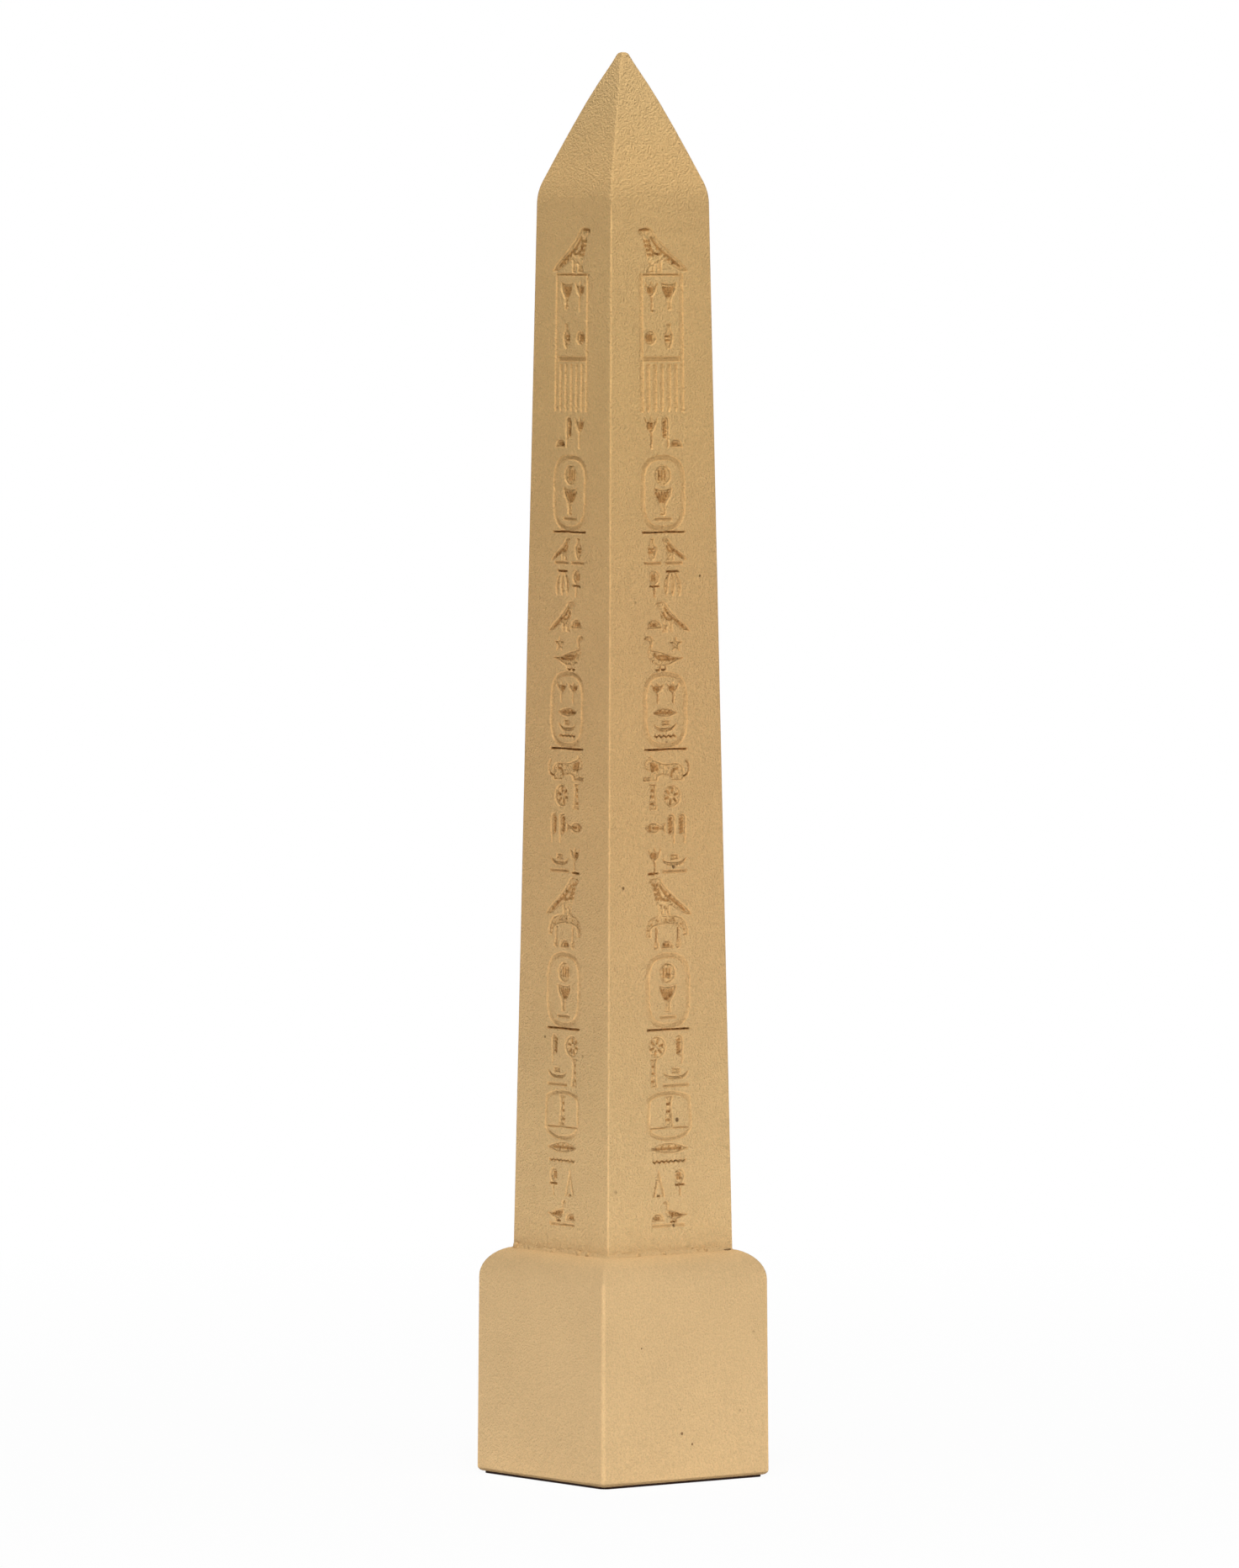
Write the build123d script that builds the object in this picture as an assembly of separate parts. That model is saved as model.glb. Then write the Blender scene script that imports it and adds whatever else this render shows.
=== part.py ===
"""Model obelisk for a shelf: a square tapering shaft with a pointed top, cast in sand-coloured
plaster, standing on a cast block plinth with rolled shoulders and a thin felt pad.

Millimetres, +Z up. The origin is the centre of the felt pad's underside, and -Y is the front face.
"""

import os
from math import atan, cos, degrees, radians, sin, sqrt, tan

from build123d import *

# Felt pad glued under the plinth
pad_thickness = 0.8
pad_inset = 0.9  # from the plinth's wall at the floor to the pad's cut edge
pad_corner_radius = 1.6

# Plinth: a block with a slight draft, its top edges rolled over almost to the shaft
plinth_width = 44.2  # at the bottom
plinth_draft = 0.25  # what each wall leans in by, from the bottom to the top
plinth_height = 47.1  # from the pad to the seat under the shaft
roll_end_angle = 18.0  # slope that the rolled edge still has where it meets the flat seat
plinth_corner_radius = 1.1
plinth_bottom_radius = 1.0

# Bead of filler round the foot of the shaft, on the ledge that the seat leaves there
bead_width = 0.8
bead_height = 0.9
bead_hollow = 0.15  # how far its face sinks in below a straight bevel
bead_corner_radius = 1.2

# Shaft: four tapering faces up to the shoulder, and a pyramid above
shaft_foot_width = 33.2
shaft_shoulder_width = 26.0
shaft_height = 223.1  # from the seat to the shoulder's sharp corner
pyramid_height = 31.1  # from that corner to the point where the faces would meet
shoulder_radius = 14.0
shaft_corner_radius = 0.9
tip_drop = 2.1  # how far the worn tip stays under that point
tip_radius = 2.2
tip_flat_radius = 0.4

# Carved band down the middle of each face
band_width = 11.5
band_top_margin = 7.7  # from the shoulder's corner down to the band
band_foot_margin = 5.9  # from the seat up to the band
line_width = 0.75  # rails and flutes of the panel, outline of the shrine
line_depth = 0.32
flute_count = 5  # between the panel's two rails
flute_gap = 0.5  # plain stone between the panel's bar and the flutes
bar_width = 0.8
bar_depth = 0.4
ring_width = 1.0
ring_depth = 0.32
ring_corner_radius = 4.6
shrine_taper = 0.4  # how much each side of the shrine leans in towards its roof
shrine_arch = 1.2  # rise of the roof
bowl_height = 2.7  # from the shrine's floor line down to the bottom of the bowl

# Rows of the band from the top down, with the heights they have on a face of this length. The
# rows of small figures are too fine for this model and stay plain stone.
rows = [
    ("figures", 9.3),
    ("panel", 17.8),
    ("flutes", 11.5),
    ("figures", 9.1),
    ("ring", 16.45),
    ("figures", 28.95),
    ("ring", 16.5),
    ("figures", 42.5),
    ("ring", 16.4),
    ("figures", 12.6),
    ("shrine", 10.4),
    ("figures", 18.0),
]

# Worked out from the sizes above
foot_half = shaft_foot_width / 2
shoulder_half = shaft_shoulder_width / 2
band_half = band_width / 2
ledge_half = foot_half + bead_width
seat_z = pad_thickness + plinth_height
tip_z = seat_z + shaft_height + pyramid_height - tip_drop
face_lean = atan((foot_half - shoulder_half) / shaft_height)
face_length = shaft_height / cos(face_lean)


def tapered_block(width, height, lean):
    """A square block standing on the plane it is built on, with every side leaning in."""
    return extrude(Rectangle(width, width), height, taper=degrees(lean))


def corner_edges(solid):
    """The edges that run up the four corners, where x and y are equal."""
    return [e for e in solid.edges() if abs(abs((e @ 0.5).X) - abs((e @ 0.5).Y)) < 1e-3]


def base_pad():
    side = plinth_width - 2 * pad_inset
    return extrude(RectangleRounded(side, side, pad_corner_radius), pad_thickness)


def plinth():
    """The rolled edge would reach its crown a little above the seat, which cuts it off at the ledge."""
    reach = plinth_width / 2 - plinth_draft - ledge_half
    roll_radius = reach / (1 - sin(radians(roll_end_angle)))
    crown = plinth_height + roll_radius * (1 - cos(radians(roll_end_angle)))
    block = Pos(0, 0, pad_thickness) * tapered_block(plinth_width, crown, atan(plinth_draft / plinth_height))
    block = fillet(block.edges().group_by(Axis.Z)[-1], roll_radius)
    block = split(block, Plane.XY.offset(seat_z), keep=Keep.BOTTOM)
    block = fillet(corner_edges(block), plinth_corner_radius)
    return fillet(block.edges().group_by(Axis.Z)[0], plinth_bottom_radius)


def plain_shaft():
    body = Pos(0, 0, seat_z) * tapered_block(shaft_foot_width, shaft_height, face_lean)
    point_lean = atan(shoulder_half / pyramid_height)
    point = tapered_block(shaft_shoulder_width, pyramid_height - tip_drop, point_lean)
    body += Pos(0, 0, seat_z + shaft_height) * point
    shoulders = [e for e in body.edges() if abs(e.center().Z - seat_z - shaft_height) < 1e-6]
    body = fillet(shoulders, shoulder_radius)
    # The ridges' rounding stays within half of the cut tip's edge
    tip_edge = 2 * tip_drop * tan(point_lean)
    body = fillet(corner_edges(body), min(shaft_corner_radius, 0.475 * tip_edge / cos(point_lean)))
    # The tip is worn to a small dome
    dome_z = tip_z - sqrt(tip_radius**2 - tip_flat_radius**2)
    level = Plane.XY.offset(dome_z)
    tip = split(body, level, keep=Keep.TOP) & Pos(0, 0, dome_z) * Sphere(tip_radius)
    return split(body, level, keep=Keep.BOTTOM) + tip


def ring_groove(top, bottom):
    """An upright ring with straight sides and rounded ends, as wide as the band."""
    outer = RectangleRounded(band_width, top - bottom, min(ring_corner_radius, 0.98 * band_half))
    return Pos(0, (top + bottom) / 2) * (outer - offset(outer, -ring_width))


def shrine_groove(top, bottom):
    """A shrine in outline: a low arched roof, straight sides, a floor line and a bowl below."""
    floor, eave, eave_half = bottom + bowl_height, top - shrine_arch, band_half - shrine_taper
    outer = make_face(
        [
            ThreePointArc((-band_half, floor), (0, bottom), (band_half, floor)),
            Line((band_half, floor), (eave_half, eave)),
            ThreePointArc((eave_half, eave), (0, top), (-eave_half, eave)),
            Line((-eave_half, eave), (-band_half, floor)),
        ]
    )
    floor_line = Pos(0, floor) * Rectangle(band_width - line_width, line_width / 2)
    return (outer - offset(outer, -line_width)) + floor_line


def band_cutters():
    """The frames of the carved band on the front face, ready to be cut from the shaft."""
    face = Plane(
        origin=(0, -foot_half, seat_z), x_dir=(1, 0, 0), z_dir=(0, -cos(face_lean), sin(face_lean))
    )
    cutters = []

    def cut(sketch, depth):
        cutters.append(extrude(face.offset(-depth) * sketch, depth * 2))

    def groove(left, right, low, high, depth):
        cut(Pos((left + right) / 2, (low + high) / 2) * Rectangle(right - left, high - low), depth)

    rail_in = band_half - line_width
    stretch = (face_length - band_top_margin - band_foot_margin) / sum(height for _, height in rows)
    top = face_length - band_top_margin
    for kind, height in rows:
        bottom = top - height * stretch
        if kind == "panel":
            groove(-band_half, band_half, top - line_width, top, line_depth)
        if kind in ("panel", "flutes"):
            groove(-band_half, -rail_in, bottom, top, line_depth)
            groove(rail_in, band_half, bottom, top, line_depth)
        if kind == "flutes":
            groove(-rail_in, rail_in, top - bar_width, top, bar_depth)
            pitch = (band_width - line_width) / (flute_count + 1)
            for i in range(1, flute_count + 1):
                left = -band_half + i * pitch
                groove(left, left + line_width, bottom, top - bar_width - flute_gap, line_depth)
        if kind == "ring":
            groove(-band_half, band_half, bottom, bottom + bar_width, bar_depth)
            cut(ring_groove(top, bottom + bar_width / 2), ring_depth)
        if kind == "shrine":
            cut(shrine_groove(top, bottom), line_depth)
        top = bottom
    return cutters


def carved_shaft():
    body = plain_shaft()
    cutters = band_cutters()
    for quarter in range(4):
        body -= [Rotation(0, 0, 90 * quarter) * cutter for cutter in cutters]
    return body


def joint_bead(shaft):
    """A block with hollow sides on the ledge, less the foot of the shaft that it goes round."""
    top_half = foot_half - (foot_half - shoulder_half) * bead_height / shaft_height
    low, high = (ledge_half, 0), (top_half, bead_height)
    middle = ((ledge_half + top_half) / 2 - bead_hollow, bead_height / 2)
    outline = make_face(
        [
            ThreePointArc(low, middle, high),
            Line(high, (-high[0], high[1])),
            ThreePointArc((-high[0], high[1]), (-middle[0], middle[1]), (-low[0], low[1])),
            Line((-low[0], low[1]), low),
        ]
    )
    block = extrude(Plane.XZ * outline, ledge_half, both=True) & extrude(Plane.YZ * outline, ledge_half, both=True)
    block = fillet(corner_edges(block), bead_corner_radius)
    return Pos(0, 0, seat_z) * block - shaft


shaft = carved_shaft()
parts = {
    "shaft": shaft,
    "plinth": plinth(),
    "joint_bead": joint_bead(shaft),
    "base_pad": base_pad(),
}

os.makedirs("parts", exist_ok=True)
for name, shape in parts.items():
    export_step(shape, f"parts/{name}.step")
    size = shape.bounding_box().size
    print(f"{name}: {size.X:.2f} x {size.Y:.2f} x {size.Z:.2f} mm, {shape.volume / 1000:.2f} cm3")
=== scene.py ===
from math import atan, cos, pi, radians, sin, tan

import bpy
from mathutils import Euler, Matrix, Vector


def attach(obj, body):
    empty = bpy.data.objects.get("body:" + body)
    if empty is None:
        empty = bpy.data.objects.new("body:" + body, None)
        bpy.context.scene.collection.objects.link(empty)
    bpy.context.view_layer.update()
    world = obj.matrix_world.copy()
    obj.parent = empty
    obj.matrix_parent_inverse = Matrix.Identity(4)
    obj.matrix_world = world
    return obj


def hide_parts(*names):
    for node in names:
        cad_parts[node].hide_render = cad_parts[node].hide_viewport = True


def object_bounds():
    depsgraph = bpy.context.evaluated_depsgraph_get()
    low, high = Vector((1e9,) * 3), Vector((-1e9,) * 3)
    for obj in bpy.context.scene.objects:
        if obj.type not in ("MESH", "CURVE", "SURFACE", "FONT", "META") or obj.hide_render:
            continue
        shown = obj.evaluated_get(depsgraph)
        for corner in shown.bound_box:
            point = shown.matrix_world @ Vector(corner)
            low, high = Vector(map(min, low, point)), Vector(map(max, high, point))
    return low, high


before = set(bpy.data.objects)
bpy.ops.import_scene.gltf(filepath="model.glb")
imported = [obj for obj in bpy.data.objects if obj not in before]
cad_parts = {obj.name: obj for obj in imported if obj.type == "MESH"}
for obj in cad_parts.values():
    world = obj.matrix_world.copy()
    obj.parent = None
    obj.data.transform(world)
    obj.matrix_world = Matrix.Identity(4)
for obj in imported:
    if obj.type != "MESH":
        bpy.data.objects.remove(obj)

cad_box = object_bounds()
mm = 0.001


# Camera. A long lens two and a half metres off, a little above the shoulder of the model and
# 37 degrees round to its left, so that the front face and the left face both show.
away, height, turn = 2530.5 * mm, 274.5 * mm, radians(-37.34)
dip, aside, lens = radians(2.905), radians(0.016), 276.1
spot = (away * sin(turn), -away * cos(turn), height)
bpy.ops.object.camera_add(location=spot, rotation=(radians(90) - dip, 0, turn + aside))
camera = bpy.context.object
camera.data.lens = lens
camera.data.sensor_width = 36
bpy.context.scene.camera = camera
bpy.context.scene.view_settings.view_transform = "Standard"


# Studio. The model stands on a white light table in a dim white room. Two lamps stand in front,
# the stronger one above the camera, one hangs overhead, and a broad one lights the back.
class Wire:
    """A socket in a material's nodes. Sums on it add Math nodes, so a pattern reads as a formula."""

    def __init__(self, socket):
        self.socket = socket

    def node(self, kind, settings=None, inputs=None, output=0):
        """Adds a node, sets it up, wires or sets its inputs, and gives one of its outputs back."""
        tree = self.socket.id_data
        new = tree.nodes.new(kind)
        for name, value in (settings or {}).items():
            if name == "stops":
                ramp = new.color_ramp.elements
                while len(ramp) < len(value):
                    ramp.new(0.5)
                for stop, (place, colour) in zip(ramp, value):
                    stop.position, stop.color = place, colour
            else:
                setattr(new, name, value)
        for name, value in (inputs or {}).items():
            if isinstance(value, Wire):
                tree.links.new(value.socket, new.inputs[name])
            else:
                new.inputs[name].default_value = value
        return Wire(new.outputs[output])

    def math(self, operation, *others, first=None):
        values = [self if first is None else first, *others]
        return self.node("ShaderNodeMath", {"operation": operation}, dict(enumerate(values)))

    def clamped(self):
        return self.math("MAXIMUM", 0.0).math("MINIMUM", 1.0)

    def mixed(self, other, share, blend="MIX"):
        """This colour with a share of another laid over it."""
        settings = {"data_type": "RGBA", "blend_type": blend}
        return self.node("ShaderNodeMix", settings, {0: share, 6: self, 7: other}, output=2)

    def __add__(self, other):
        return self.math("ADD", other)

    def __sub__(self, other):
        return self.math("SUBTRACT", other)

    def __mul__(self, other):
        return self.math("MULTIPLY", other)

    def __truediv__(self, other):
        return self.math("DIVIDE", other)

    def __rsub__(self, other):
        return self.math("SUBTRACT", self, first=other)

    __radd__ = __add__
    __rmul__ = __mul__


def new_material(name):
    """A material with no nodes but its output, and the wire of the object's own coordinates."""
    material = bpy.data.materials.new(name)
    material.use_nodes = True
    material.node_tree.nodes.clear()
    output = material.node_tree.nodes.new("ShaderNodeOutputMaterial")
    coordinates = material.node_tree.nodes.new("ShaderNodeTexCoord")
    return material, output, Wire(coordinates.outputs["Object"])


def finish_with(output, shader):
    output.id_data.links.new(shader.socket, output.inputs["Surface"])


def seen_by_eye(path):
    """One for rays that come straight from the camera, off metal or through glass, else nought."""
    kinds = [Wire(path.outputs[f"Is {kind} Ray"]) for kind in ("Camera", "Glossy", "Transmission")]
    return sum(kinds[1:], kinds[0]).math("MINIMUM", 1.0)


# The table glows a plain white. Near the model a little of its own lit surface shows as well,
# with the shadow on it.
shadow_share, shadow_fade = 0.06, 1.8
white_sweep, output, place = new_material("white_sweep")
seen = seen_by_eye(place.node("ShaderNodeLightPath").socket.node)
lit = place.node("ShaderNodeBsdfDiffuse", inputs={"Color": (0.86, 0.86, 0.86, 1)})
glow = place.node("ShaderNodeEmission", inputs={"Color": (1, 1, 1, 1), "Strength": 1.0})
distance = place.node("ShaderNodeVectorMath", {"operation": "LENGTH"}, {0: place}, output="Value")
near = (1.0 - distance * shadow_fade).math("MAXIMUM", 0.0)
share = seen * (1.0 - near * shadow_share)
finish_with(output, place.node("ShaderNodeMixShader", inputs={0: share, 1: lit, 2: glow}))

bpy.ops.object.select_all(action="DESELECT")
bpy.ops.mesh.primitive_grid_add(x_subdivisions=2, y_subdivisions=2, size=12, location=(0, 0, 0))
floor = bpy.context.object
floor.name = "floor"
floor.data.materials.append(white_sweep)

room_light = 0.03
room = bpy.data.worlds.new("white_room")
bpy.context.scene.world = room
room.use_nodes = True
room.node_tree.nodes.clear()
output = room.node_tree.nodes.new("ShaderNodeOutputWorld")
seen = seen_by_eye(room.node_tree.nodes.new("ShaderNodeLightPath"))
strength = seen * (1 - room_light) + room_light
finish_with(output, seen.node("ShaderNodeBackground", inputs={"Color": (1, 1, 1, 1), "Strength": strength}))


def soft_lamp(name, side, up, distance, size, power):
    """A square lamp aimed at the middle of the model from side degrees round and up degrees high."""
    middle = Vector((0, 0, cad_box[1][2] / 2))
    way = Euler((radians(90 - up), 0, radians(side))).to_matrix() @ Vector((0, 0, 1))
    bpy.ops.object.light_add(type="AREA", location=middle + way * distance)
    lamp = bpy.context.object
    lamp.name = name
    lamp.rotation_euler = (radians(90 - up), 0, radians(side))
    lamp.data.size = size
    lamp.data.energy = power


soft_lamp("front_lamp", 0, 30, 1.8, 0.35, 2.3)
soft_lamp("key_lamp", -38, 40, 1.8, 0.35, 13.6)
soft_lamp("overhead_lamp", -40, 80, 1.0, 0.4, 5.4)
soft_lamp("back_lamp", 140, 35, 2.0, 1.4, 6)

# The light table's own lamp lies just above it and shines upwards
bpy.ops.object.light_add(type="AREA", location=(0, 0, 1 * mm), rotation=(pi, 0, 0))
table_lamp = bpy.context.object
table_lamp.name = "table_lamp"
table_lamp.data.size = 0.5
table_lamp.data.energy = 0.67
table_lamp.visible_camera = False


# Shaft. One casting with four tapering faces, a soft shoulder and a four-sided point with a worn
# tip. Each face has one column of shallow sunk ornament, pressed into the mould-maker's pattern:
# a bird on a fluted panel, three oval rings and a shrine, with rows of small figures between.
seat, shoulder, point_top = 47.9, 271.0, 302.1
foot_half, shoulder_half = 16.6, 13.0
edge_radius, shoulder_radius = 0.5, 14.0
lean = atan((foot_half - shoulder_half) / (shoulder - seat))
point_lean = atan(shoulder_half / (point_top - shoulder))

# The carving is drawn flat, in millimetres across the face from its middle line and up it from
# the floor. Outlines are pressed in as plates, and lines are drawn into them with a round tool.
plates, lines = [], []
figure_depth, frame_depth, line_depth, line_wide = 0.5, 0.45, 0.8, 0.44


def plate(points, u=0, v=0, size=1, depth=figure_depth):
    """An outline to press in. A third value in a point makes it a sharp corner."""
    plates.append((depth, [[(u + size * x, v + size * y, *corner) for x, y, *corner in points]]))


def line(points, u=0, v=0, size=1):
    lines.append([(u + size * x, v + size * y, *corner) for x, y, *corner in points])


def box(left, low, right, high):
    plate([(left, low, 1), (right, low, 1), (right, high, 1), (left, high, 1)], depth=frame_depth)


def hatch(left, low, right, high, count, slant=0.0):
    """Short upright strokes side by side, like those that texture the figures."""
    for i in range(count):
        x = left + (right - left) * (i + 0.5) / count
        line([(x, low), (x + slant, high)])


def oval(u, v, across, up):
    plate([(across * cos(a * pi / 4), up * sin(a * pi / 4)) for a in range(8)], u, v)


def disc(u, v, r):
    oval(u, v, r, r)
    hatch(u - 0.55 * r, v - 0.5 * r, u + 0.55 * r, v + 0.5 * r, 3)


def half_disc(u, v, r):
    plate([(-r, 0, 1), (-0.86 * r, 0.55 * r), (0, r), (0.86 * r, 0.55 * r), (r, 0, 1)], u, v)
    hatch(u - 0.5 * r, v + 0.2 * r, u + 0.5 * r, v + 0.6 * r, 3)


def star(u, v, r, points=5):
    rays = [(r, 0.42 * r)[i % 2] for i in range(2 * points)]
    plate([(ray * sin(i * pi / points), ray * cos(i * pi / points), 1) for i, ray in enumerate(rays)], u, v)


def rosette(u, v, r):
    oval(u, v, r, r)
    for i in range(6):
        a = i * pi / 3 + 0.3
        line([(0.3 * r * cos(a), 0.3 * r * sin(a)), (0.78 * r * cos(a), 0.78 * r * sin(a))], u, v)


def bird(u, v, size=1):
    """A hawk at rest, seen from the side, its tail down to the right."""
    plate(
        [(-6.0, 8.5, 1), (-5.7, 9.2, 1), (-3.4, 9.5), (-2.3, 9.1, 1), (-1.6, 8.0), (-0.3, 6.6), (2.9, 3.9),
         (5.9, 1.6), (7.0, 0.3, 1), (5.2, 0.4), (3.4, 1.3), (1.6, 2.2), (0.3, 2.6), (0.2, 2.0), (0.2, 0.1, 1),
         (-0.9, 0.1, 1), (-1.0, 1.2), (-1.35, 1.9), (-1.7, 1.4), (-1.7, 0.1, 1), (-3.9, 0.1, 1), (-3.4, 0.7),
         (-3.3, 2.0), (-3.9, 3.6), (-4.5, 5.6), (-4.9, 7.6, 1)],
        u, v, size,
    )
    line([(-2.4, 7.6), (-0.6, 5.4), (2.2, 3.5), (5.2, 1.3)], u, v, size)
    line([(-2.9, 6.2), (-1.6, 4.2), (0.4, 3.9)], u, v, size)
    if size > 0.8:
        # Breast feathers in four rows of three, wing feathers, and the flat of the head
        for row in range(4):
            for column in range(3):
                x, y = -4.1 + 0.62 * column + 0.32 * row, 6.9 - 0.95 * row
                line([(x, y), (x + 0.25, y - 0.55)], u, v)
        for i in range(5):
            line([(-0.9 + i, 4.9 - 0.75 * i), (-0.2 + i, 5.2 - 0.75 * i)], u, v)
        line([(-5.4, 9.0, 1), (-2.7, 9.1, 1)], u, v)


def duck(u, v, size=1):
    """A duck standing, its bill to the left."""
    plate(
        [(-4.8, 6.5, 1), (-4.0, 7.2), (-3.0, 7.1), (-2.4, 6.3), (-2.6, 5.2), (-2.8, 4.4), (-2.0, 4.2),
         (0.6, 3.6), (3.4, 2.7), (5.6, 2.5, 1), (3.8, 1.8), (2.4, 1.2), (0.6, 0.9), (-1.4, 1.1), (-3.0, 2.0),
         (-3.9, 3.4), (-3.5, 4.9), (-3.3, 5.8), (-3.7, 6.2)],
        u, v, size,
    )
    line([(-1.9, 3.5), (-0.8, 2.4), (1.6, 2.2), (3.6, 2.3)], u, v, size)
    line([(-0.9, 2.9), (0.6, 2.9), (2.2, 2.7)], u, v, size)
    line([(-0.5, 0.9), (-0.6, 0.1), (-1.8, 0.1)], u, v, size)
    line([(0.9, 0.9), (0.8, 0.1), (-0.2, 0.1)], u, v, size)


def lion(u, v):
    """A lion lying down."""
    plate(
        [(-5.4, 3.2), (-5.1, 4.2), (-4.4, 4.8), (-3.7, 5.5, 1), (-3.3, 4.8), (-2.2, 4.3), (0.5, 3.6),
         (3.2, 3.7), (4.6, 3.1), (5.1, 1.6), (4.9, 0.1, 1), (1.9, 0.1, 1), (1.5, 0.9), (0.2, 1.2),
         (-1.6, 1.0), (-1.9, 0.1, 1), (-5.8, 0.1, 1), (-5.6, 0.8), (-3.9, 1.1), (-3.6, 2.1), (-4.6, 2.4)],
        u, v,
    )
    line([(5.1, 0.9), (6.1, 1.6), (6.3, 3.1), (5.6, 4.3)], u, v)
    for i in range(4):
        line([(-3.4 + 0.5 * i, 4.0 - 0.15 * i), (-3.1 + 0.5 * i, 2.0 + 0.1 * i)], u, v)
    line([(1.9, 0.8), (2.4, 2.2), (3.8, 2.6)], u, v)


def fish(u, v):
    plate(
        [(-2.8, 0.9, 1), (-1.6, 1.8), (0.4, 1.9), (1.7, 1.2), (2.8, 2.1, 1), (2.5, 1.0), (2.8, -0.2, 1),
         (1.6, 0.6), (0.3, -0.1), (-1.5, 0.0)],
        u, v,
    )
    line([(-1.2, 1.5), (-1.0, 0.9), (-1.2, 0.3)], u, v)
    line([(-0.4, 0.9), (1.2, 0.9)], u, v)


def feather(u, v, h):
    plate(
        [(-0.8, 0.32 * h), (-1.1, 0.62 * h), (-1.0, 0.93 * h), (-0.3, h), (0.6, 0.97 * h), (0.8, 0.7 * h),
         (0.7, 0.3 * h), (0.6, 0, 1), (0.15, 0, 1), (0.1, 0.28 * h)],
        u, v,
    )
    for i in range(5):
        y = h * (0.36 + 0.11 * i)
        line([(-0.6, y), (0.3, y + 0.5)], u, v)


def lotus(u, v, h):
    """An open water lily on its stem."""
    plate(
        [(-1.7, h, 1), (-1.3, 0.72 * h), (-0.6, 0.56 * h), (0, 0.52 * h), (0.6, 0.56 * h), (1.3, 0.72 * h),
         (1.7, h, 1), (0.8, 0.85 * h), (0, 1.04 * h, 1), (-0.8, 0.85 * h)],
        u, v,
    )
    line([(0, 0.55 * h), (0.15, 0.3 * h), (0, 0)], u, v)
    hatch(u - 0.7, v + 0.62 * h, u + 0.7, v + 0.82 * h, 3)


def papyrus(u, v, h, across=2.2):
    """A fan-shaped flower head on a stout stem, on a foot."""
    a = across
    plate(
        [(-a, h, 1), (-0.85 * a, 0.72 * h), (-0.35 * a, 0.46 * h), (-0.3 * a, 0.1 * h, 1),
         (0.3 * a, 0.1 * h, 1), (0.35 * a, 0.46 * h), (0.85 * a, 0.72 * h), (a, h, 1), (0, 0.94 * h)],
        u, v,
    )
    for i in (-2, -1, 0, 1, 2):
        line([(0.09 * a * i, 0.52 * h), (0.34 * a * i, 0.86 * h)], u, v)


def jar(u, v, h):
    plate(
        [(-0.6, h, 1), (-0.45, 0.8 * h), (-1.15, 0.56 * h), (-0.95, 0.2 * h), (-0.4, 0, 1), (0.4, 0, 1),
         (0.95, 0.2 * h), (1.15, 0.56 * h), (0.45, 0.8 * h), (0.6, h, 1)],
        u, v,
    )
    line([(-0.75, 0.5 * h), (0.75, 0.5 * h)], u, v)
    line([(-0.65, 0.34 * h), (0.65, 0.34 * h)], u, v)


def fan(u, v, h):
    """A round fan on a long handle."""
    oval(u, v + 0.74 * h, 0.2 * h + 0.2, 0.26 * h)
    line([(0, 0.48 * h), (0, 0)], u, v)
    line([(-1.3, 0.42 * h), (1.3, 0.42 * h)], u, v)
    hatch(u - 0.6, v + 0.62 * h, u + 0.6, v + 0.86 * h, 2)


def bundle(u, v, h):
    """Three buds tied together."""
    for side in (-1, 0, 1):
        plate(
            [(side * 0.5, h, 1), (side * 1.6 - 0.55, 0.62 * h), (side * 1.75 - 0.3, 0.16 * h),
             (side * 1.75, 0.04 * h, 1), (side * 1.75 + 0.4, 0.2 * h), (side * 1.5 + 0.5, 0.6 * h)],
            u, v,
        )
    line([(-1.7, 0.98 * h), (1.7, 0.98 * h)], u, v)


def column(u, v, h, across=1.0):
    a = across
    plate(
        [(-a, 0, 1), (-0.8 * a, 0.35 * h), (-0.62 * a, 0.8 * h), (-a, h, 1), (a, h, 1), (0.62 * a, 0.8 * h),
         (0.8 * a, 0.35 * h), (a, 0, 1)],
        u, v,
    )
    for y in (0.22, 0.5, 0.74):
        line([(-0.55 * a, y * h), (0.55 * a, y * h)], u, v)


def leaf(u, v, half, thick):
    plate(
        [(-half, 0, 1), (-0.5 * half, 0.8 * thick), (0, thick), (0.5 * half, 0.7 * thick), (half, 0, 1),
         (0.5 * half, -0.7 * thick), (0, -0.85 * thick), (-0.5 * half, -0.6 * thick)],
        u, v,
    )
    line([(-0.7 * half, 0), (0.7 * half, 0)], u, v)
    for i in (-1, 0, 1):
        line([(0.35 * half * i, 0), (0.35 * half * i + 0.3, 0.55 * thick)], u, v)


def boat(u, v, half):
    """A hull with its ends turned up, and a cabin on it."""
    plate(
        [(-half, 1.7, 1), (-0.7 * half, 0.5), (0, 0.1), (0.7 * half, 0.5), (half, 1.9, 1),
         (0.66 * half, 1.15), (0, 0.85), (-0.66 * half, 1.1)],
        u, v,
    )
    cabin = [(-0.3 * half, 1.3, 1), (-0.26 * half, 2.5, 1), (0.34 * half, 2.4, 1), (0.36 * half, 1.35, 1)]
    plate(cabin, u, v)


def wave(u, v, across, step=0.62):
    count = int(across / step)
    line([(i * step - across / 2, 0.26 * (-1) ** i, 1) for i in range(count + 1)], u, v)


def bar(u, v, across, thick=0.6):
    box(u - across / 2, v - thick / 2, u + across / 2, v + thick / 2)


def cone(u, v, h):
    plate([(-1.6, 0, 1), (0, h, 1), (1.6, 0, 1), (0.95, 0, 1), (0, 0.62 * h, 1), (-0.95, 0, 1)], u, v)
    half_disc(u, v, 0.55)


def ring(outer, inner):
    """A groove between two outlines."""
    plates.append((frame_depth, [outer, inner]))


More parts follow.
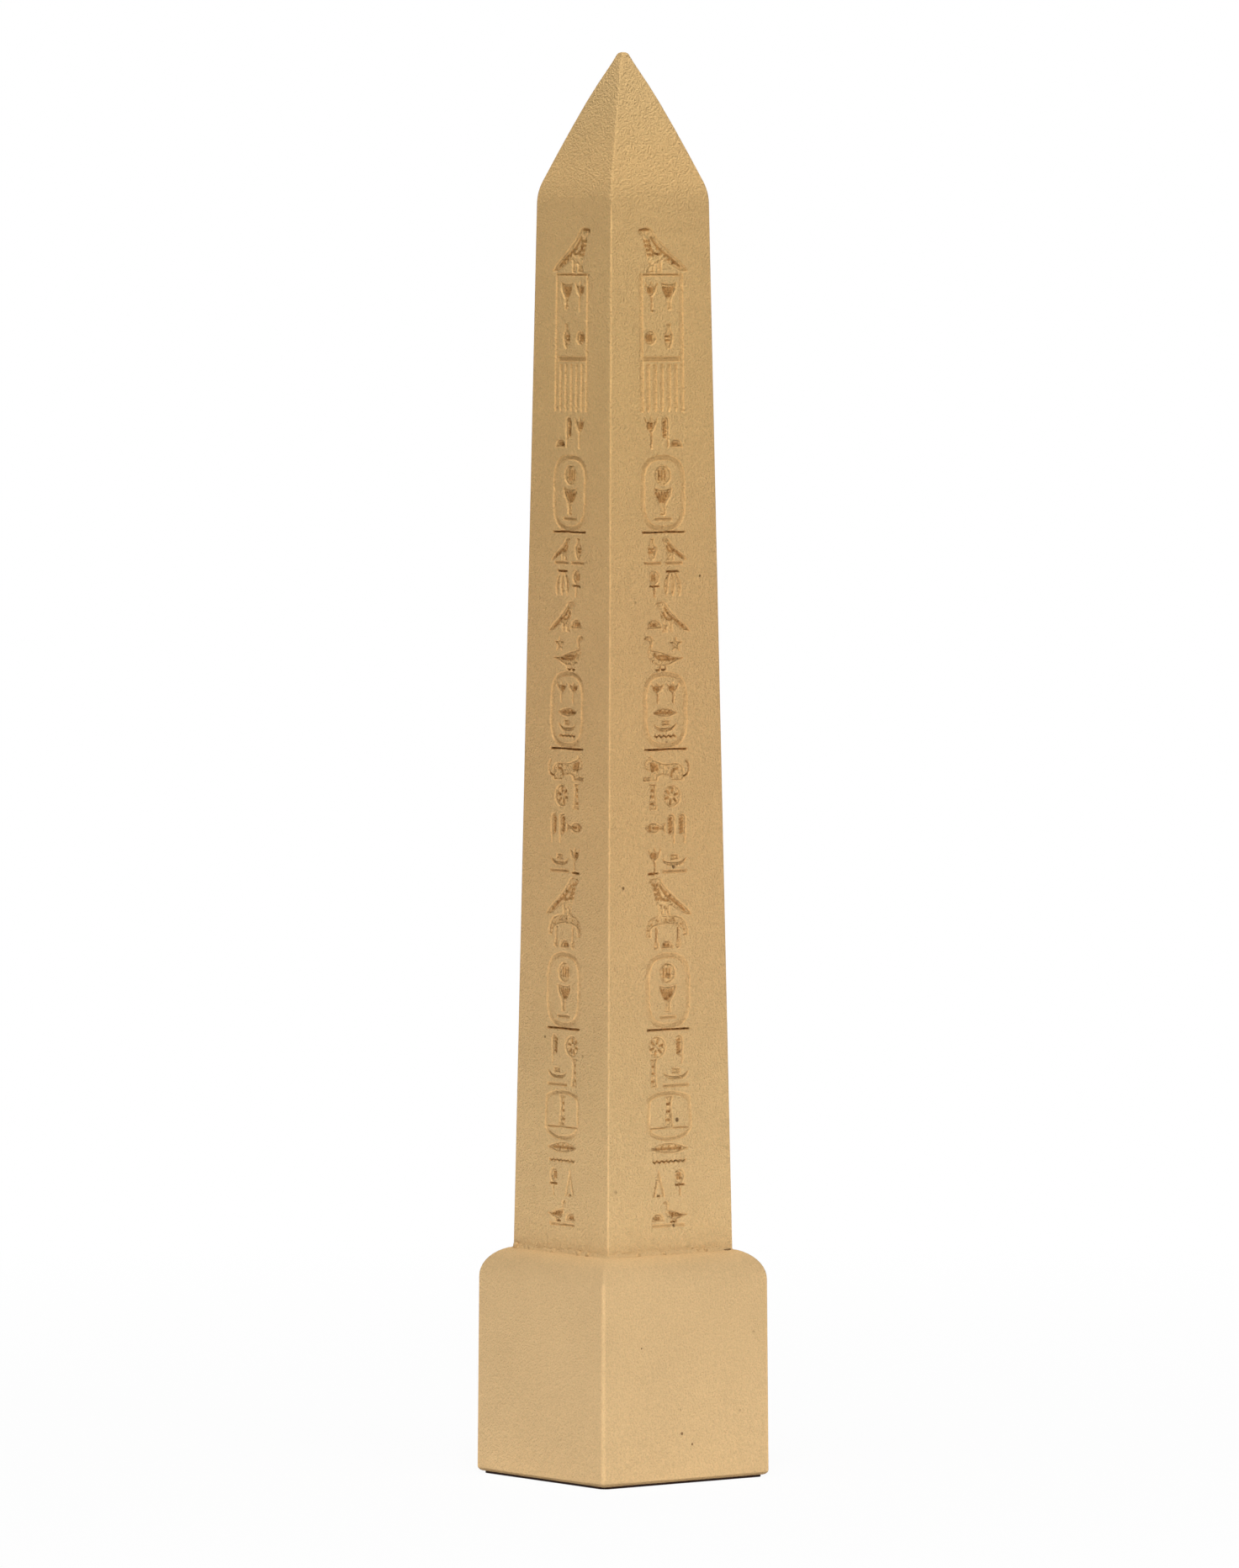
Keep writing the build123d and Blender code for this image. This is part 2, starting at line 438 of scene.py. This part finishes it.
def rounded(half, low, high, r):
    """The outline of an upright ring: straight sides and ends rounded by r."""
    c = 0.293 * r  # how far the middle of each rounding lies inside the square corner
    right = [(half - r, high), (half - c, high - c), (half, high - r), (half, (low + high) / 2),
             (half, low + r), (half - c, low + c), (half - r, low)]
    return [(0, high), *right, (0, low)] + [(-x, y) for x, y in reversed(right)]


def oval_ring(low, high, half=5.75, groove=1.0):
    """A ring, with a line below it that the hand has drawn a little unevenly."""
    ring(rounded(half, low, high, 4.4), rounded(half - groove, low + groove, high - groove, 3.5))
    line([(-5.6, low - 0.3), (-1.9, low - 0.35), (1.8, low - 0.3), (5.7, low - 0.35)])


# The bird on its panel, with two flowers, a disc and a jar inside, and pointed flutes below
bird(0, 253.8)
panel_low, panel_top, panel_inside = 224.7, 253.6, 4.8
rail, rail_half = 5.32, 0.38
for side in (-1, 1):
    box(rail * side - rail_half, panel_low, rail * side + rail_half, panel_top)
box(-panel_inside, panel_top - 0.4, panel_inside, panel_top)
box(-panel_inside, 235.3, panel_inside, 236.2)
flute_pitch, flute_half, flute_height = 1.81, 0.4, 10.1
flute = [(-flute_half, 0.8, 1), (0, 0, 1), (flute_half, 0.8, 1)]
flute += [(flute_half, flute_height, 1), (-flute_half, flute_height, 1)]
for i in range(-2, 3):
    plate(flute, flute_pitch * i, 224.6, depth=frame_depth)
lotus(-2.6, 245.6, 6.3)
papyrus(2.1, 245.4, 6.4, 2.0)
disc(-2.9, 240.2, 1.5)
jar(1.9, 237.9, 5.2)

# From here down, rings and rows of small figures
lotus(-3.0, 217.0, 6.6)
feather(1.0, 217.2, 6.4)
half_disc(3.6, 217.3, 1.6)
oval_ring(199.8, 215.6)
disc(0, 211.4, 2.1)
papyrus(0, 202.4, 6.4, 2.4)
bar(0, 202.2, 4.6)

jar(-3.0, 193.8, 4.4)
bar(-2.9, 193.0, 4.4)
bird(2.6, 193.5, 0.5)
bar(2.7, 193.0, 4.6)
fan(-2.5, 185.8, 5.7)
bundle(2.3, 185.8, 5.6)
half_disc(-2.6, 179.3, 1.9)
bird(2.0, 178.5, 0.68)
duck(-0.6, 170.6)
star(3.0, 175.9, 1.8)

oval_ring(154.3, 170.2)
lotus(-2.0, 163.6, 4.3)
lotus(2.1, 163.6, 4.3)
leaf(0, 161.6, 3.2, 1.0)
boat(0, 157.6, 3.0)
wave(0, 156.7, 5.6)

lion(-0.2, 147.3)
column(-3.4, 141.4, 5.4)
rosette(1.7, 144.1, 2.3)
fish(-2.9, 136.6)
feather(1.5, 134.1, 6.2)
feather(4.4, 134.1, 6.2)
lotus(-3.2, 127.5, 5.8)
boat(2.0, 129.4, 3.3)
bar(2.0, 128.3, 6.4)

# A hawk on a collar of beads, with buds hanging from it
bird(0.5, 118.9, 0.86)
plate(
    [(-5.6, 114.6, 1), (-5.4, 117.0), (-4.0, 118.6), (0, 119.0), (4.0, 118.5), (5.3, 116.8),
     (5.5, 114.8, 1), (4.3, 114.8, 1), (4.0, 116.2), (2.6, 117.0), (0, 117.3), (-2.6, 117.0),
     (-4.1, 116.3), (-4.3, 114.6, 1)]
)
for i in range(9):
    a = radians(200 - 27.5 * i)
    line([(4.7 * cos(a), 115.6 + 2.5 * sin(a)), (4.8 * cos(a), 115.8 + 2.6 * sin(a))])
for across, drop in ((-2.9, 111.9), (2.9, 112.1)):
    line([(across, 116.6), (across, drop + 1.6)])
    oval(across, drop + 0.9, 0.65, 0.9)
half_disc(0, 112.2, 1.6)

oval_ring(95.5, 111.2)
disc(0, 107.0, 2.1)
papyrus(0, 98.1, 6.4, 2.3)
bar(0, 97.8, 4.4)
rosette(-2.9, 91.5, 2.3)
feather(3.1, 87.8, 6.0)
column(-3.9, 83.0, 6.0, 0.9)
boat(1.9, 84.5, 3.4)
bar(1.9, 83.3, 6.8)

# The shrine: arched roof, straight sides, a floor line over a bowl, and a column inside
ring(
    [(-6.0, 74.3, 1), (-5.6, 81.0, 1), (-3.0, 81.9), (0, 82.2), (3.0, 81.9), (5.6, 81.0, 1), (6.0, 74.3, 1),
     (4.6, 72.8), (0, 71.8), (-4.6, 72.8)],
    [(-5.2, 74.5, 1), (-4.9, 80.3, 1), (-3.0, 81.1), (0, 81.4), (3.0, 81.1), (4.9, 80.3, 1), (5.2, 74.5, 1),
     (4.0, 73.4), (0, 72.6), (-4.0, 73.4)],
)
bar(0, 74.5, 10.6, 0.4)
column(0, 74.7, 6.4, 1.1)
leaf(0, 70.1, 5.0, 1.2)
wave(0, 67.4, 8.8)
cone(-2.9, 60.0, 5.7)
fan(2.7, 60.0, 5.7)
duck(1.2, 54.6, 0.62)
half_disc(-3.2, 54.9, 1.6)
bar(-0.5, 54.0, 8.6)


def draw(outlines, closed):
    """Bezier splines through the points of some outlines, in one curve."""
    curve = bpy.data.curves.new("outline", "CURVE")
    curve.dimensions, curve.fill_mode = ("2D", "BOTH") if closed else ("3D", "FULL")
    curve.resolution_u = 3
    for points in outlines:
        spline = curve.splines.new("BEZIER")
        spline.bezier_points.add(len(points) - 1)
        spline.use_cyclic_u = closed
        for knot, (x, y, *corner) in zip(spline.bezier_points, points):
            knot.co = (x * mm, y * mm, 0)
            knot.handle_left_type = knot.handle_right_type = "VECTOR" if corner else "AUTO"
    piece = bpy.data.objects.new("outline", curve)
    bpy.context.collection.objects.link(piece)
    piece.select_set(True)
    bpy.context.view_layer.objects.active = piece
    return piece


def sheet(name, across, up, middle, columns, rows, z):
    """A flat grid that faces up."""
    bpy.ops.object.select_all(action="DESELECT")
    bpy.ops.mesh.primitive_grid_add(
        x_subdivisions=columns, y_subdivisions=rows, size=1, location=(0, middle * mm, z * mm)
    )
    piece = bpy.context.object
    piece.name = name
    piece.scale = (across * mm, up * mm, 1)
    bpy.ops.object.transform_apply()
    return piece


def apply(piece, kind, **settings):
    """Adds a modifier with these settings and applies it."""
    bpy.context.view_layer.objects.active = piece
    modifier = piece.modifiers.new(kind.lower(), kind)
    for name, value in settings.items():
        setattr(modifier, name, value)
    bpy.ops.object.modifier_apply(modifier=modifier.name)


bpy.ops.object.select_all(action="DESELECT")
for depth, outlines in plates:
    draw(outlines, True).location.z = -depth * mm
for points in lines:
    groove = draw([points], False)
    groove.data.bevel_depth = line_wide / 2 * mm
    groove.data.bevel_resolution = 1
    groove.location.z = (line_wide / 2 - line_depth) * mm
bpy.ops.object.convert(target="MESH")
bpy.ops.object.join()
bpy.ops.object.transform_apply()
stamp = bpy.context.object

# A blank sheet joins the stamp, for the plain face round the carving
sheet("blank", 30, 240, 158, 1, 1, 0)
stamp.select_set(True)
bpy.ops.object.join()
stamp = bpy.context.object

# A fine sheet rises against the stamp from behind, is smoothed a little, and loses the points
# that its flat parts don't need. Its rim is set straight again after that.
side_edge, low_edge, top_edge = 7.7, 50, 267
columns, rows, kept_share = 129, 1809, 0.092
band = sheet("band", 2 * side_edge, top_edge - low_edge, (top_edge + low_edge) / 2, columns, rows, -3)
apply(band, "SHRINKWRAP", target=stamp, wrap_method="PROJECT", use_project_z=True)
apply(band, "SMOOTH", factor=0.5, iterations=4, use_x=False, use_y=False)
apply(band, "DECIMATE", ratio=kept_share)
bpy.data.objects.remove(stamp)
bpy.ops.object.mode_set(mode="EDIT")
bpy.ops.mesh.select_all(action="SELECT")
bpy.ops.mesh.remove_doubles(threshold=0.002 * mm)
bpy.ops.mesh.select_all(action="DESELECT")
bpy.ops.mesh.select_mode(type="EDGE")
bpy.ops.mesh.select_non_manifold()
bpy.ops.object.mode_set(mode="OBJECT")
for point in band.data.vertices:
    if point.select:
        x, y, _ = point.co / mm
        off = (side_edge - abs(x), top_edge - y, y - low_edge)
        x = side_edge * (1 if x > 0 else -1) if off[0] < 0.1 else x
        y = top_edge if off[1] < 0.1 else low_edge if off[2] < 0.1 else y
        point.co = (x * mm, y * mm, 0)


def rounded_square(half, radius, z):
    """A square outline with rounded corners, lying at z."""
    bpy.ops.object.select_all(action="DESELECT")
    bpy.ops.mesh.primitive_plane_add(size=2 * half * mm, location=(0, 0, z * mm))
    bpy.ops.object.mode_set(mode="EDIT")
    bpy.ops.mesh.bevel(offset=radius * mm, segments=5, affect="VERTICES")
    bpy.ops.mesh.delete(type="ONLY_FACE")
    bpy.ops.object.mode_set(mode="OBJECT")
    return bpy.context.object


def stack(name, levels):
    """Joins rounded squares, given from the bottom up as half width, corner radius and height."""
    outlines = [rounded_square(*level) for level in levels]
    for outline in outlines:
        outline.select_set(True)
    bpy.ops.object.join()
    bpy.ops.object.transform_apply()
    piece = bpy.context.object
    piece.name = name
    bpy.ops.object.mode_set(mode="EDIT")
    bpy.ops.mesh.select_all(action="SELECT")
    bpy.ops.mesh.bridge_edge_loops()
    bpy.ops.mesh.select_all(action="DESELECT")
    bpy.ops.object.mode_set(mode="OBJECT")
    for end in (levels[0][2], levels[-1][2]):
        for edge in piece.data.edges:
            edge.select = all(abs(piece.data.vertices[i].co.z / mm - end) < 0.001 for i in edge.vertices)
        bpy.ops.object.mode_set(mode="EDIT")
        bpy.ops.mesh.edge_face_add()
        bpy.ops.mesh.select_all(action="DESELECT")
        bpy.ops.object.mode_set(mode="OBJECT")
    return piece


# The shoulder is an arc from the shaft's lean to the point's. The point's sides are a little
# crowned, and its tip is worn to a small dome.
setback = shoulder_radius * tan((point_lean - lean) / 2)
low_end, low_half = shoulder - setback * cos(lean), shoulder_half + setback * sin(lean)
levels = [(foot_half, edge_radius, seat), (low_half, edge_radius, low_end)]
for i in range(1, 9):
    angle = lean + (point_lean - lean) * i / 8
    half = low_half + shoulder_radius * (cos(angle) - cos(lean))
    levels.append((half, edge_radius, low_end + shoulder_radius * (sin(angle) - sin(lean))))
for half, z in ((9.93, 278.8), (7.80, 284.2), (5.58, 289.6), (3.98, 293.2)):
    levels.append((half, edge_radius, z))
levels += [(1.88, 0.85, 297.8), (1.30, 0.62, 299.0), (1.07, 0.58, 299.5), (0.88, 0.62, 299.8)]
levels += [(0.66, 0.6, 299.93), (0.4, 0.38, 300.0)]
body = stack("shaft_body", levels)

# The four flat sides come off the body, and a flat frame round the band takes their place
bpy.ops.object.select_all(action="DESELECT")
body.select_set(True)
bpy.context.view_layer.objects.active = body
for flat in body.data.polygons:
    flat.select = flat.area > 2000 * mm**2
bpy.ops.object.mode_set(mode="EDIT")
bpy.ops.mesh.delete(type="ONLY_FACE")
bpy.ops.object.mode_set(mode="OBJECT")

length = (low_end - seat) / cos(lean)
frame_sheet = sheet("frame_sheet", 2, 2, 0, 1, 1, 0)
for corner in frame_sheet.data.vertices:
    top = corner.co.y > 0
    half = (low_half if top else foot_half) - edge_radius
    corner.co = (half * mm * (1 if corner.co.x > 0 else -1), (seat + (length if top else 0)) * mm, 0)
bpy.ops.object.mode_set(mode="EDIT")
bpy.ops.mesh.select_all(action="SELECT")
bpy.ops.mesh.delete(type="ONLY_FACE")
bpy.ops.object.mode_set(mode="OBJECT")
band.select_set(True)
bpy.context.view_layer.objects.active = band
bpy.ops.object.join()
bpy.ops.object.mode_set(mode="EDIT")
bpy.ops.mesh.select_all(action="DESELECT")
bpy.ops.mesh.select_non_manifold()
bpy.ops.object.mode_set(mode="OBJECT")
pressed = len(band.data.polygons)
bpy.ops.object.mode_set(mode="EDIT")
bpy.ops.mesh.fill(use_beauty=False)
bpy.ops.mesh.select_mode(type="FACE")
bpy.ops.mesh.select_all(action="DESELECT")
bpy.ops.object.mode_set(mode="OBJECT")
# The fill also covers the band, and that part of it is taken off again
for face in band.data.polygons:
    x, y, _ = face.center / mm
    within = abs(x) < side_edge - 0.001 and low_edge + 0.001 < y < top_edge - 0.001
    face.select = face.index >= pressed and within
bpy.ops.object.mode_set(mode="EDIT")
bpy.ops.mesh.delete(type="FACE")
bpy.ops.object.mode_set(mode="OBJECT")

# Stood up and leaned back on the front face. The left face is its mirror image across the corner
# between them, and the other two are these two turned half round.
stand = Matrix.Translation((0, -foot_half * mm, seat * mm)) @ Matrix.Rotation(radians(90) - lean, 4, "X")
front = stand @ Matrix.Translation((0, -seat * mm, 0))
swap = Matrix(((0, 1, 0, 0), (1, 0, 0, 0), (0, 0, 1, 0), (0, 0, 0, 1)))
half_turn = Matrix.Rotation(pi, 4, "Z")
bpy.ops.object.select_all(action="DESELECT")
for way in (front, swap @ front, half_turn @ front, half_turn @ swap @ front):
    side = band.copy()
    side.data = band.data.copy()
    side.data.transform(way)
    bpy.context.collection.objects.link(side)
    side.select_set(True)
bpy.data.objects.remove(band)
body.select_set(True)
bpy.context.view_layer.objects.active = body
bpy.ops.object.join()
body.name = "shaft_cast"
bpy.ops.object.mode_set(mode="EDIT")
bpy.ops.mesh.select_all(action="SELECT")
bpy.ops.mesh.remove_doubles(threshold=0.005 * mm)
bpy.ops.mesh.normals_make_consistent(inside=False)
bpy.ops.object.mode_set(mode="OBJECT")
bpy.ops.object.shade_smooth_by_angle(angle=radians(40))
apply(body, "WEIGHTED_NORMAL", keep_sharp=True, weight=50)


# Cast plaster with stone powder in it, the colour of dry sand. The mould has left a fine grain and
# a few small lumps and pinholes; the pinholes are painted dark as painted shade. The colour is a
# little uneven and warmer further up the shaft, and the foot of the shaft is painted paler as painted
# light. The plinth's upright corners, the shaft's rounded corners and the walls of the carving are
# painted pale as painted highlights. The deepest lines are painted dark, painted shade with some dirt,
# and the rough floors of the figures are painted in patches, dark with dust and elsewhere paler.
def sand_cast(name, colour, pinholes, grain, carved=False):
    """Plaster of this colour, with a grain this many millimetres high, and pinholes painted dark with shade.
    """
    material, output, place = new_material(name)

    def noise(scale, detail, roughness=0.5):
        settings = {"Vector": place, "Scale": scale, "Detail": detail, "Roughness": roughness}
        return place.node("ShaderNodeTexNoise", inputs=settings)

    def ramp(stops, share):
        return place.node("ShaderNodeValToRGB", {"stops": stops}, {"Fac": share})

    grit, dimples, cloud = noise(3600.0, 2.0, 0.6), noise(2200.0, 1.0), noise(42.0, 3.0)
    shade = (grit - 0.5) * 0.55 + (dimples - 0.5) * 0.35 + (cloud - 0.5) * 0.2 + 0.5
    darker, lighter = [[min(c * level, 1) for c in colour] + [1] for level in (0.8, 1.2)]
    tone = ramp([(0.25, darker), (0.75, lighter)], shade)
    height = place.node("ShaderNodeSeparateXYZ", inputs={"Vector": place}, output="Z")
    axes = height.socket.node.outputs
    across, along = Wire(axes["X"]).math("ABSOLUTE"), Wire(axes["Y"]).math("ABSOLUTE")

    # Painted light: the foot of the shaft is painted palest, standing in for the light that falls more
    # strongly low down. Above it the tint turns warmer, and it is coolest low on the plinth.
    plain = (1, 1, 1, 1)
    height_tint_and_painted_light = [
        (0.03, (0.95, 0.96, 0.97, 1)), (0.153, plain), (0.163, (1.14, 1.13, 1.09, 1)),
        (0.2, (1.1, 1.09, 1.05, 1)), (0.27, (1.03, 1.01, 0.95, 1)), (0.36, (1.05, 1.0, 0.92, 1)),
        (0.46, (1.04, 0.97, 0.86, 1)), (0.6, (1.06, 0.98, 0.86, 1)), (0.76, (1.09, 1.03, 0.87, 1)),
        (0.92, (1.1, 1.045, 0.9, 1)), (0.97, (1.04, 1.02, 0.91, 1)),
    ]
    tone = tone.mixed(ramp(height_tint_and_painted_light, height / cad_box[1][2]), 1.0, "MULTIPLY")

    # Painted highlight: the plinth's upright corners are painted pale, where across and along add up to most
    highlight_start, highlight_lean, highlight_fade = 43.45 * mm, 0.0106, 0.15 * mm
    corner = (across + along - highlight_start + height * highlight_lean) / highlight_fade
    tone = tone.mixed((1.12, 1.12, 1.11, 1), corner.clamped(), "MULTIPLY")

    lump = place.node("ShaderNodeTexVoronoi", inputs={"Vector": place, "Scale": 150.0}, output="Distance")
    relief = grit * 0.4 + dimples * 0.6 + (1.0 - lump / 0.05).math("MAXIMUM", 0.0)
    for x, y, z, r in pinholes:
        points = {0: place, 1: (x * mm, y * mm, z * mm)}
        gap = place.node("ShaderNodeVectorMath", {"operation": "DISTANCE"}, points, output="Value")
        pit_with_painted_shade = ((1.0 - gap / (r * mm)) * 2.5).clamped()
        relief = relief - pit_with_painted_shade * 1.5
        # Painted shade: each pinhole is painted dark inside, besides its small dip in the bump
        tone = tone.mixed((0.3, 0.2, 0.12, 1), pit_with_painted_shade * 0.8, "MULTIPLY")

    if carved:
        # The depth below the leaning face, in millimetres. The point above has no carving.
        carving_top = 267.5 * mm
        face = (foot_half + seat * tan(lean)) * mm - height * tan(lean)
        depth = (face - across.math("MAXIMUM", along)) / mm * height.math("LESS_THAN", carving_top)
        # Painted highlight: the walls of the carving are painted pale, and so are the shaft's rounded
        # corners, which lie at the same small depth below the face
        highlight_pale = (1.17, 1.17, 1.16, 1)
        painted_wall_highlight = [(0.02, plain), (0.1, highlight_pale), (0.3, highlight_pale), (0.4, plain), (0.5, plain)]
        # Painted shade with some dirt: the bottoms of the deepest lines are painted dark
        tone = tone.mixed(ramp(painted_wall_highlight + [(0.6, (0.7, 0.58, 0.46, 1))], depth), 1.0, "MULTIPLY")
        # The floors of the figures, which are deeper than the frames, are painted in patches: dark with dust,
        # and elsewhere paler
        floor_depth = 0.464
        figure = ((depth - floor_depth) * 25).clamped()
        patches = noise(1100.0, 2.0)
        dust_and_pale_patches = [(0.3, (0.74, 0.61, 0.47, 1)), (0.4, (1.06, 1.06, 1.05, 1)), (0.58, (1.3, 1.3, 1.28, 1))]
        tone = tone.mixed(ramp(dust_and_pale_patches, patches), figure, "MULTIPLY")
        relief = relief + figure * patches

    bump = {"Strength": 1.0, "Distance": grain * mm, "Height": relief}
    finish = {"Base Color": tone, "Roughness": 0.85, "Specular IOR Level": 0.25}
    finish["Normal"] = place.node("ShaderNodeBump", inputs=bump)
    finish_with(output, place.node("ShaderNodeBsdfPrincipled", inputs=finish))
    return material


# Pinholes by place and radius, in millimetres
pinholes = [
    (-6.25, -12.68, 290.9, 0.35), (-11.6, -15.35, 125.2, 0.35), (1.8, -15.2, 129.3, 0.45),
    (2.0, -16.0, 76.1, 0.5), (1.1, -16.3, 53.9, 0.4), (9.4, -14.3, 190.2, 0.3),
    (-15.9, 6.2, 93.1, 0.3), (-14.2, -4.0, 188.0, 0.3),
]
body.data.materials.append(sand_cast("carved_plaster", (0.705, 0.472, 0.229), pinholes, 0.85, carved=True))
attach(body, "root")
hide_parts("shaft")


# Plinth. A second casting, almost a cube, with a slight draft. Its top edges are rolled over to
# the foot of the shaft, and the other edges are softly rounded.
plinth_half, plinth_draft, corner_radius = 22.1, 0.25, 0.6
foot, foot_radius, wall_height = 0.45, 1.0, 40.3
roll_radius, roll_half, roll_foot, ledge_half = 6.44, 15.41, 41.775, 17.4
levels = []
for a in (radians(15 * i) for i in range(7)):
    half = plinth_half - foot_radius * (1 - sin(a))
    levels.append((half, corner_radius, foot + foot_radius * (1 - cos(a))))
for i in range(1, 6):
    half = plinth_half - plinth_draft * i / 6
    levels.append((half, corner_radius, foot + foot_radius + wall_height * i / 6))
for a in (radians(8 * i) for i in range(9)):
    levels.append((roll_half + roll_radius * cos(a), corner_radius, roll_foot + roll_radius * sin(a)))
levels.append((ledge_half, corner_radius, seat))
plinth = stack("plinth_cast", levels)
bpy.ops.object.mode_set(mode="EDIT")
bpy.ops.mesh.select_all(action="SELECT")
bpy.ops.mesh.normals_make_consistent(inside=False)
bpy.ops.object.mode_set(mode="OBJECT")
bpy.ops.object.shade_smooth_by_angle(angle=radians(50))
apply(plinth, "WEIGHTED_NORMAL", keep_sharp=True, weight=50)
pinholes = [(-11.8, -21.95, 29.1, 0.22), (-1.2, -22.05, 10.6, 0.35), (1.5, -22.06, 8.2, 0.28)]
pinholes.append((9.0, 22.0, 20.0, 0.3))
plinth.data.materials.append(sand_cast("plinth_plaster", (0.67, 0.451, 0.221), pinholes, 0.4))
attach(plinth, "root")
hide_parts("plinth")


# Filler. A strip of the same plaster, smeared by hand into the joint of shaft and plinth, and left
# lumpy. It covers the ledge round the shaft's foot and feathers out on the faces above it.
levels = [(ledge_half, 1.2, 47.75), (17.3, 1.2, 47.9), (16.95, 1.1, 48.1), (16.75, 0.9, 48.35)]
filler = stack("filler_strip", levels + [(16.4, 0.6, 48.8)])
core = stack("filler_core", [(16.0, 0.5, 47.0), (16.0, 0.5, 50.0)])
apply(filler, "BOOLEAN", operation="DIFFERENCE", object=core, solver="EXACT")
bpy.data.objects.remove(core)

# Lumps by place and radius, in millimetres
lumps = [
    (-17.05, -7.0, 48.35, 0.5), (-17.05, -10.2, 48.35, 0.45), (-17.0, 15.0, 48.5, 0.7),
    (-16.9, 2.0, 48.3, 0.45), (4.6, -15.0, 49.6, 1.7), (7.0, -16.8, 48.6, 0.35), (-2.1, -17.1, 48.2, 0.4),
    (-8.8, -17.1, 48.2, 0.4), (9.0, -16.9, 48.6, 0.45), (17.0, 4.0, 48.3, 0.5), (17.0, -9.0, 48.4, 0.45),
    (-3.0, 17.0, 48.3, 0.5), (10.0, 17.0, 48.4, 0.45),
]
bpy.ops.object.select_all(action="DESELECT")
for x, y, z, r in lumps:
    spot = (x * mm, y * mm, z * mm)
    bpy.ops.mesh.primitive_uv_sphere_add(segments=16, ring_count=8, radius=r * mm, location=spot)
    bpy.ops.object.transform_apply()
    filler.select_set(True)
    bpy.context.view_layer.objects.active = filler
    bpy.ops.object.join()
    bpy.ops.object.select_all(action="DESELECT")
apply(filler, "REMESH", mode="VOXEL", voxel_size=0.14 * mm)
for name, size, strength in (("waves", 2.6, 0.5), ("crumbs", 0.8, 0.25)):
    clouds = bpy.data.textures.new(name, "CLOUDS")
    clouds.noise_scale = size * mm
    apply(filler, "DISPLACE", texture=clouds, texture_coords="LOCAL", strength=strength * mm, mid_level=0.5)
apply(filler, "SMOOTH", factor=0.5, iterations=2)
bpy.ops.object.select_all(action="DESELECT")
filler.select_set(True)
bpy.context.view_layer.objects.active = filler
bpy.ops.object.shade_smooth()
filler.data.materials.clear()

# A crack near the front right corner, as a row of pits painted dark with painted shade
crack = [(14.1, -17.0, 48.0, 0.28), (14.6, -17.0, 48.08, 0.3)]
crack += [(15.1, -17.0, 48.13, 0.3), (15.5, -17.0, 48.2, 0.25)]
# The filler's colour is a little darker than the shaft's
filler.data.materials.append(sand_cast("filler_plaster", (0.62, 0.412, 0.2), crack, 0.5))
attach(filler, "root")
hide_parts("joint_bead")


# Pad. Thin dark brown felt, cut square and glued under the plinth so that it doesn't scratch a
# shelf. It is set in a little from the plinth's walls, and only its cut edge shows.
material, output, place = new_material("brown_felt")
hairs = {"Vector": place, "Scale": 900.0, "Detail": 4.0, "Roughness": 0.7}
fibres = place.node("ShaderNodeTexNoise", inputs=hairs)
browns = {"stops": [(0.3, (0.014, 0.005, 0.003, 1)), (0.75, (0.06, 0.024, 0.014, 1))]}
tone = place.node("ShaderNodeValToRGB", browns, {"Fac": fibres})
nap = place.node("ShaderNodeBump", inputs={"Strength": 1.0, "Distance": 0.1 * mm, "Height": fibres})
felt = {"Base Color": tone, "Roughness": 1.0, "Normal": nap}
finish_with(output, place.node("ShaderNodeBsdfPrincipled", inputs=felt))
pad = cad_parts["base_pad"]
pad.data.materials.clear()
pad.data.materials.append(material)
